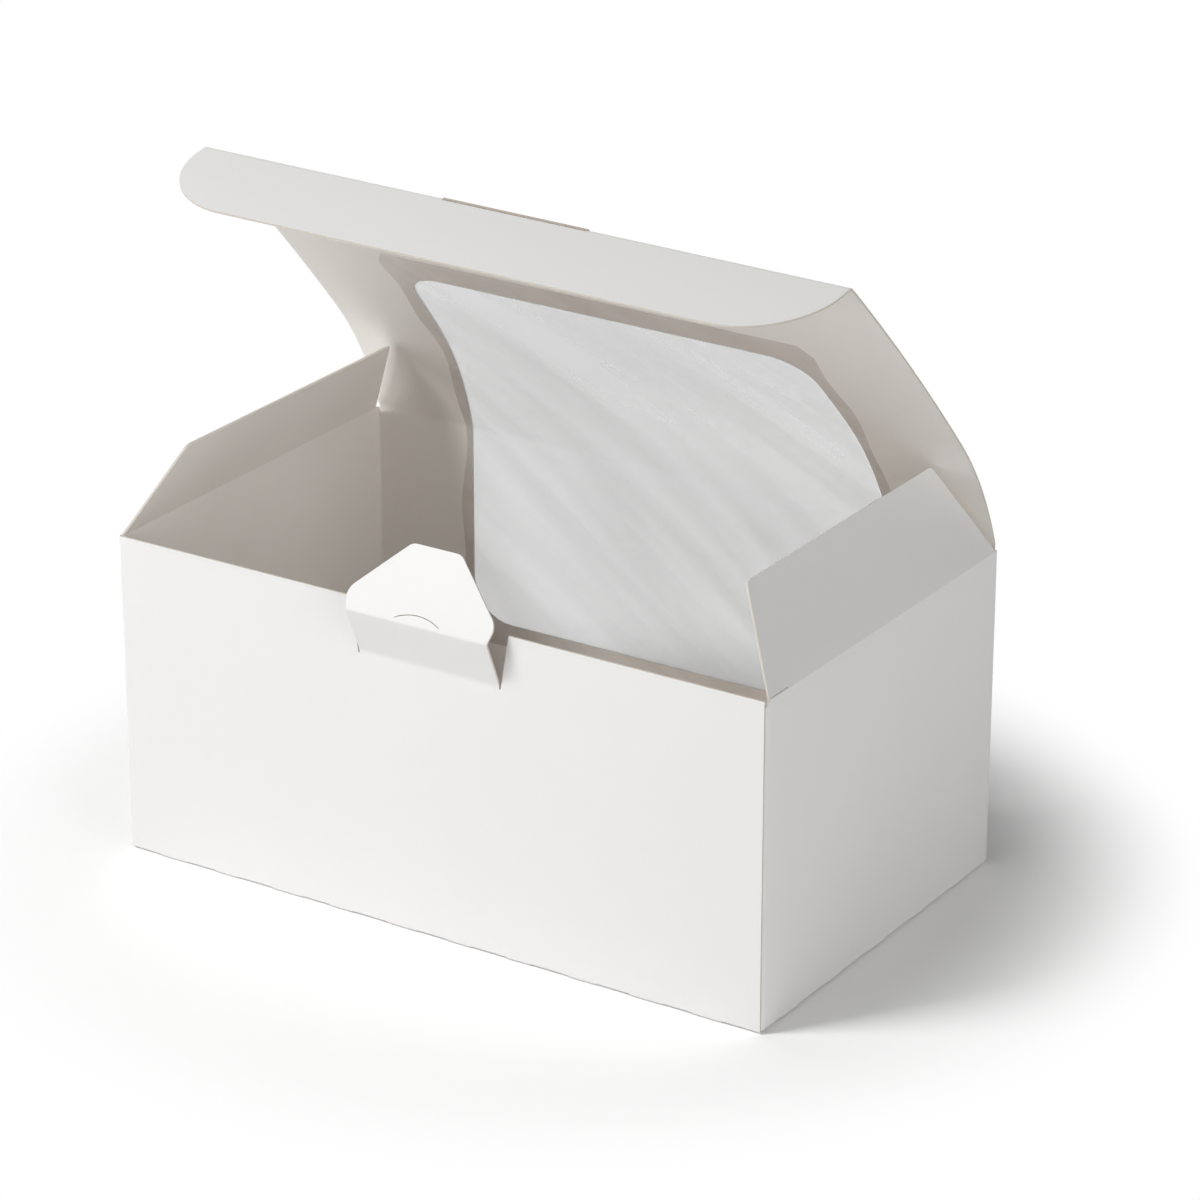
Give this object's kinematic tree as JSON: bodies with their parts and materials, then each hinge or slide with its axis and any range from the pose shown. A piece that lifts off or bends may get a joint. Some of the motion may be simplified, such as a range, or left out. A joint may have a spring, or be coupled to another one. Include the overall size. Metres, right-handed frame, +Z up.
{
  "type": "cupcake box",
  "caption": "White folded paperboard cupcake box standing open, with a curved lid, tuck flap, side flaps, lock tab and a film window in lid and rear wall.",
  "frame": {"origin": "middle of the flat floor of the box, on its underside", "axes": "+X to the right across the front, +Y from the front to the rear wall, +Z up"},
  "size_m": [0.18, 0.1121, 0.1659],
  "materials": {
    "board": "smooth uncoated white paperboard",
    "film": "clear packaging film, slightly hazy"
  },
  "bodies": {
    "box": {"carton": "board", "wall_window": "film"},
    "lid": {"lid": "board", "lid_window": "film"},
    "tuck_flap": {"tuck_flap": "board"},
    "lock_tab": {"lock_tab": "board"}
  },
  "joints": [
    {"name": "lid_hinge", "type": "hinge", "parent": "box", "child": "lid", "pos_m": [0, 0.05325, 0.082], "axis": [1, 0, 0], "range_deg": [-118, 0]},
    {"name": "tuck_fold", "type": "hinge", "parent": "lid", "child": "tuck_flap", "pos_m": [0, -0.01405, 0.16567], "axis": [1, 0, 0], "range_deg": [-53.5, 46.5]},
    {"name": "lock_tab_fold", "type": "hinge", "parent": "box", "child": "lock_tab", "pos_m": [0, -0.05325, 0.069], "axis": [1, 0, 0], "range_deg": [-23, 75]}
  ]
}
